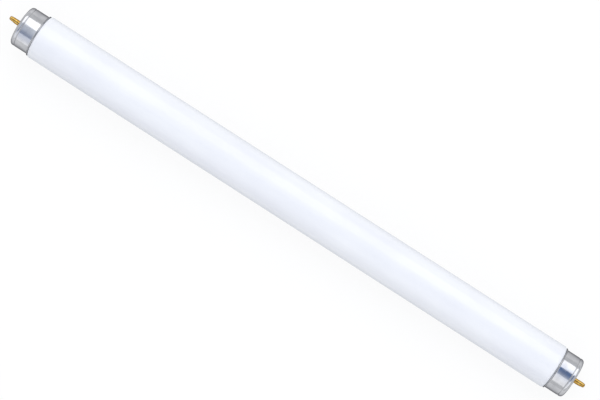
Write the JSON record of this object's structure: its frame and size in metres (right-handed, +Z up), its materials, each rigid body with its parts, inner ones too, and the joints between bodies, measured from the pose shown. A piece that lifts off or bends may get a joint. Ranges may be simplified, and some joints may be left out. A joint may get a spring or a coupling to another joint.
{
  "type": "fluorescent tube",
  "caption": "Straight white glass discharge lamp with an aluminium cap and brass contact pins at each end, carried between lamp holders.",
  "frame": {"origin": "the lamp's middle, on its axis", "axes": "+X along the lamp from the left cap to the right cap, +Z up in the plane that holds all the pins"},
  "size_m": [0.3744, 0.026, 0.026],
  "materials": {
    "coated_glass": "glossy, opaque white from the coating inside",
    "aluminium": "drawn and lightly polished",
    "brass": "polished",
    "phenolic_board": "punched board, satin",
    "capping_cement": "baked, matt",
    "lead_wire": "drawn wire"
  },
  "bodies": {
    "root": {"glass_tube": "coated_glass", "left_cap_shell": "aluminium", "left_insulator": "phenolic_board", "left_cement_ring": "capping_cement", "left_upper_pin": "brass", "left_lower_pin": "brass", "left_upper_lead": "lead_wire", "left_lower_lead": "lead_wire", "right_cap_shell": "aluminium", "right_insulator": "phenolic_board", "right_cement_ring": "capping_cement", "right_upper_pin": "brass", "right_lower_pin": "brass", "right_upper_lead": "lead_wire", "right_lower_lead": "lead_wire"}
  },
  "joints": []
}
